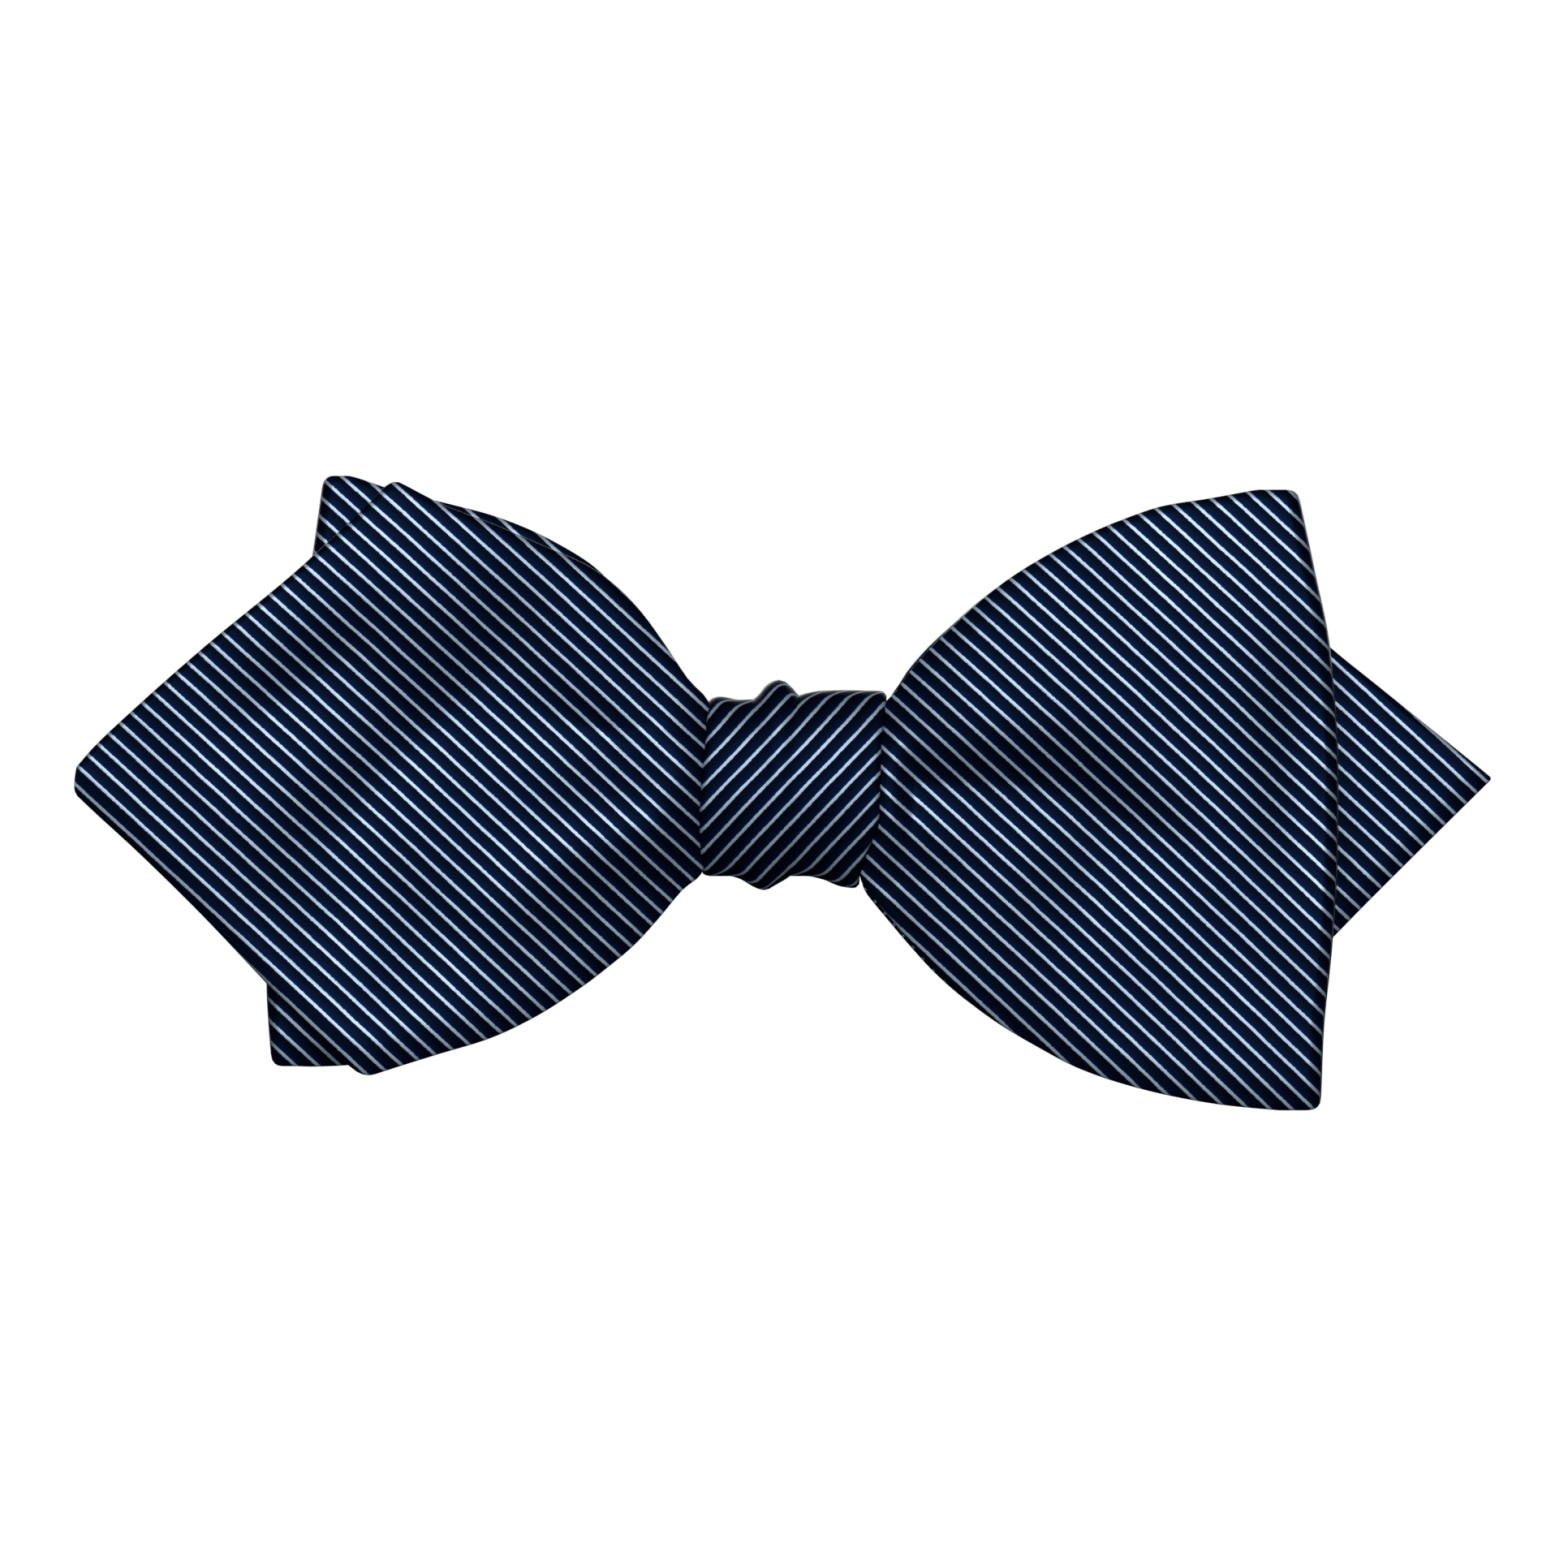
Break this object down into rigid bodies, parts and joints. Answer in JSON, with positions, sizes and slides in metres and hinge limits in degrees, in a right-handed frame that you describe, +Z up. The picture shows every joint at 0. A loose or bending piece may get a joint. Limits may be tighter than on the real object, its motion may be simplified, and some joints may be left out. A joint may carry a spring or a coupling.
{
  "type": "diamond point bow tie",
  "caption": "Self-tie bow tie with diamond-pointed ends, tied and closed round the neck, in navy silk with fine pale diagonal stripes.",
  "frame": {"origin": "middle of the neck opening, at half the height of the neckband", "axes": "+Z up, +X to the right of someone looking at the bow from the front, -Y forward, from the neck towards the bow"},
  "size_m": [0.1314, 0.1487, 0.0587],
  "materials": {
    "bow_silk": "silk twill, navy with fine pale stripes that fall to the right",
    "knot_silk": "the same striped silk, its stripes rising to the right",
    "band_silk": "the same striped silk, folded flat"
  },
  "bodies": {
    "root": {"front_bow": "bow_silk", "rear_bow": "bow_silk", "knot": "knot_silk", "neckband": "band_silk"}
  },
  "joints": []
}
